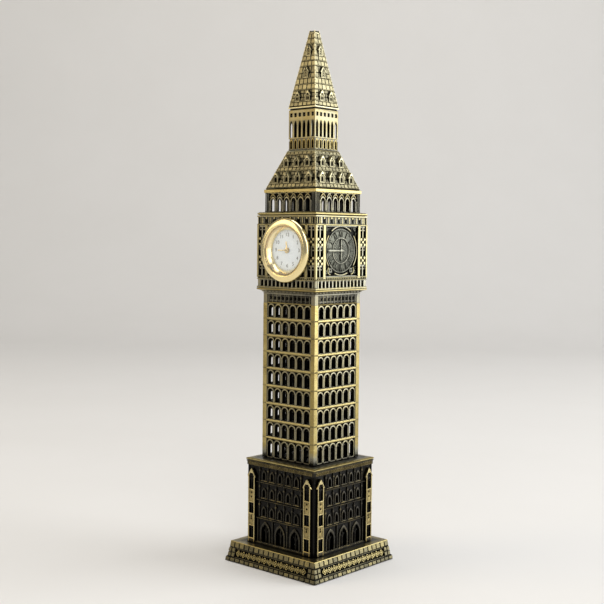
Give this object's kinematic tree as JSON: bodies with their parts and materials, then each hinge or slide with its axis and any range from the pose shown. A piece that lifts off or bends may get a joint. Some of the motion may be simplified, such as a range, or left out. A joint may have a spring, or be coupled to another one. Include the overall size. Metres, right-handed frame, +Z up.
{
  "type": "miniature landmark clock tower",
  "caption": "Miniature Gothic clock tower in antique brass castings, with a press-in quartz clock in its front face and relief dials on the others.",
  "frame": {"origin": "centre of the underside, where the felt pad rests on the table", "axes": "+Z up along the tower, front face with the working clock towards -Y, +X to the clock's three o'clock side"},
  "size_m": [0.052, 0.052, 0.225],
  "materials": {
    "antique_brass": "antique finish, brown-black in the recesses, rubbed bright on raised edges",
    "dark_brass": "dark patina, glossy, pale rubbed edges",
    "roof_bronze": "olive bronze, rubbed bright on ridges",
    "gold_plate": "polished gold plating",
    "screw_steel": "zinc plated",
    "movement_steel": "fine brushed",
    "copper_wire": "enamelled copper wire",
    "black_plastic": "moulded, satin",
    "white_plastic": "moulded, natural",
    "dial_white": "matt white enamel with black numerals",
    "lens": "clear, polished",
    "silicone": "soft translucent ring",
    "felt": "green pressed felt",
    "circuit_board": "solder mask"
  },
  "bodies": {
    "tower": {"base_plinth": "antique_brass", "felt_pad": "felt", "base_screw_1": "screw_steel", "base_screw_2": "screw_steel", "base_screw_3": "screw_steel", "base_screw_4": "screw_steel", "podium_floor": "dark_brass", "podium_wall_front": "dark_brass", "podium_wall_right": "dark_brass", "podium_wall_back": "dark_brass", "podium_wall_left": "dark_brass", "podium_cap": "antique_brass", "shaft_wall_front": "antique_brass", "shaft_wall_right": "antique_brass", "shaft_wall_back": "antique_brass", "shaft_wall_left": "antique_brass", "clock_stage_deck": "antique_brass", "clock_stage_wall_front": "antique_brass", "clock_stage_wall_right": "antique_brass", "clock_stage_wall_back": "antique_brass", "clock_stage_wall_left": "antique_brass", "belfry_deck": "antique_brass", "belfry_wall_front": "antique_brass", "belfry_wall_right": "antique_brass", "belfry_wall_back": "antique_brass", "belfry_wall_left": "antique_brass", "lower_roof": "roof_bronze", "lantern": "antique_brass", "spire": "roof_bronze"},
    "clock_insert": {"bezel": "gold_plate", "lens": "lens", "dial": "dial_white", "movement_case": "black_plastic", "grip_ring": "silicone", "case_back": "movement_steel", "main_plate": "black_plastic", "train_bridge": "movement_steel", "stator": "movement_steel", "coil": "copper_wire", "battery_cell": "movement_steel", "battery_strap": "movement_steel", "circuit_board": "circuit_board"},
    "minute_hand": {"minute_hand": "gold_plate", "centre_wheel": "gold_plate"},
    "hour_hand": {"hour_hand": "gold_plate", "hour_wheel": "gold_plate"},
    "minute_wheel": {"minute_wheel": "white_plastic"},
    "third_wheel": {"third_wheel": "white_plastic"},
    "drive_wheel": {"drive_wheel": "white_plastic"},
    "rotor": {"rotor": "movement_steel"},
    "setting_lever": {"setting_lever": "movement_steel"},
    "setting_stem": {"setting_stem": "movement_steel", "setting_crown": "gold_plate"}
  },
  "joints": [
    {"name": "insert_pull", "type": "slide", "parent": "tower", "child": "clock_insert", "axis": [0, -1, 0], "range_m": [0, 0.012]},
    {"name": "minute_turn", "type": "hinge", "parent": "clock_insert", "child": "minute_hand", "pos_m": [0, -0.01455, 0.1332], "axis": [0, 1, 0], "continuous": true},
    {"name": "hour_turn", "type": "hinge", "parent": "clock_insert", "child": "hour_hand", "pos_m": [0, -0.01535, 0.1332], "axis": [0, 1, 0], "continuous": true},
    {"name": "minute_wheel_turn", "type": "hinge", "parent": "clock_insert", "child": "minute_wheel", "pos_m": [0, -0.01455, 0.1302], "axis": [0, 1, 0], "continuous": true},
    {"name": "third_wheel_turn", "type": "hinge", "parent": "clock_insert", "child": "third_wheel", "pos_m": [-0.00052, -0.01225, 0.13615], "axis": [0, 1, 0], "continuous": true},
    {"name": "drive_wheel_turn", "type": "hinge", "parent": "clock_insert", "child": "drive_wheel", "pos_m": [0.00187, -0.01185, 0.13636], "axis": [0, 1, 0], "continuous": true},
    {"name": "rotor_turn", "type": "hinge", "parent": "clock_insert", "child": "rotor", "pos_m": [0.00383, -0.01255, 0.13728], "axis": [0, 1, 0], "continuous": true},
    {"name": "stem_pull", "type": "slide", "parent": "clock_insert", "child": "setting_lever", "axis": [1, 0, 0], "range_m": [0, 0.0007]},
    {"name": "crown_turn", "type": "hinge", "parent": "setting_lever", "child": "setting_stem", "pos_m": [0.0082, -0.01165, 0.1332], "axis": [1, 0, 0], "continuous": true}
  ],
  "couplings": [
    {"joint": "hour_turn", "follows": "minute_turn", "ratio": 0.083333},
    {"joint": "minute_wheel_turn", "follows": "minute_turn", "ratio": -0.33333},
    {"joint": "third_wheel_turn", "follows": "minute_turn", "ratio": -3},
    {"joint": "drive_wheel_turn", "follows": "minute_turn", "ratio": 12},
    {"joint": "rotor_turn", "follows": "minute_turn", "ratio": -60}
  ]
}
